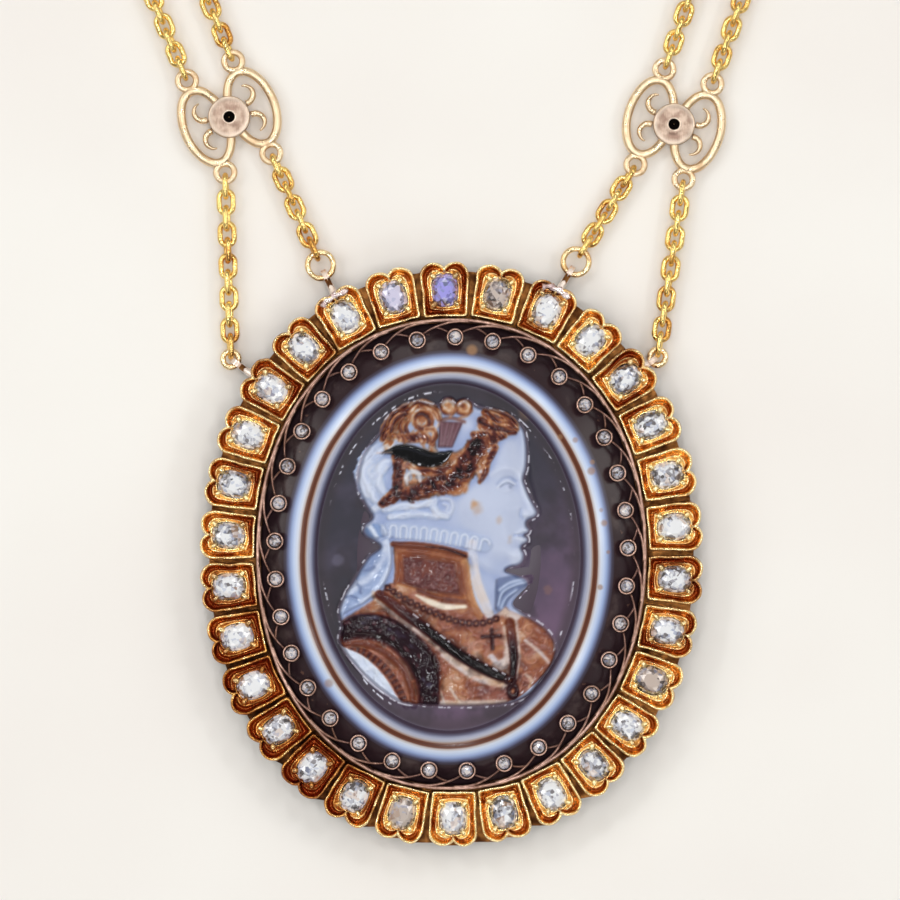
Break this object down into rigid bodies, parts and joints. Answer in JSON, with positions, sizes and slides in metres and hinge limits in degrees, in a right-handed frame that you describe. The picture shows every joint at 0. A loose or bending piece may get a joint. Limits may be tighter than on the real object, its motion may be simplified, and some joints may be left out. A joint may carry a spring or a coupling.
{
  "type": "cameo pendant necklace",
  "caption": "Oval cameo pendant in an openwork frame of box-set stones, hung by jump rings, short chains and scrolled connectors from a double trace chain, laid flat on its back.",
  "frame": {"origin": "middle of the frame's flat back, on the surface that the pendant lies on", "axes": "+X to the wearer's left as seen from the front (right in the picture), +Y from the pendant towards the clasp, +Z out of the carved face"},
  "size_m": [0.1158, 0.2281, 0.0051],
  "materials": {
    "yellow_gold": "polished warm yellow gold with darker, redder gold in the troughs",
    "pale_gold": "worn pale gold, softly brushed",
    "chain_gold": "bright yellow gold wire",
    "dark_silver": "tarnished silver with a mauve-brown tone",
    "banded_stone": "polished layered agate, white relief over a dark purple-brown ground",
    "diamond": "old cushion-cut clear stone",
    "rose_diamond": "small rose-cut clear stone, slightly grey"
  },
  "bodies": {
    "root": {"gold_frame": "yellow_gold", "gallery": "dark_silver", "cameo": "banded_stone", "rose_stones": "rose_diamond", "diamond_01": "diamond", "diamond_02": "diamond", "diamond_03": "diamond", "diamond_04": "diamond", "diamond_05": "diamond", "diamond_06": "diamond", "diamond_07": "diamond", "diamond_08": "diamond", "diamond_09": "diamond", "diamond_10": "diamond", "diamond_11": "diamond", "diamond_12": "diamond", "diamond_13": "diamond", "diamond_14": "diamond", "diamond_15": "diamond", "diamond_16": "diamond", "diamond_17": "diamond", "diamond_18": "diamond", "diamond_19": "diamond", "diamond_20": "diamond", "diamond_21": "diamond", "diamond_22": "diamond", "diamond_23": "diamond", "diamond_24": "diamond", "diamond_25": "diamond", "diamond_26": "diamond", "diamond_27": "diamond", "diamond_28": "diamond", "diamond_29": "diamond", "diamond_30": "diamond", "upper_right_ring": "pale_gold", "lower_right_ring": "pale_gold", "lower_left_ring": "pale_gold", "upper_left_ring": "pale_gold", "left_connector": "pale_gold", "right_connector": "pale_gold", "left_inner_chain": "chain_gold", "left_outer_chain": "chain_gold", "right_inner_chain": "chain_gold", "right_outer_chain": "chain_gold", "left_inner_strand": "chain_gold", "left_outer_strand": "chain_gold", "right_inner_strand": "chain_gold", "right_outer_strand": "chain_gold", "clasp": "chain_gold"}
  },
  "joints": []
}
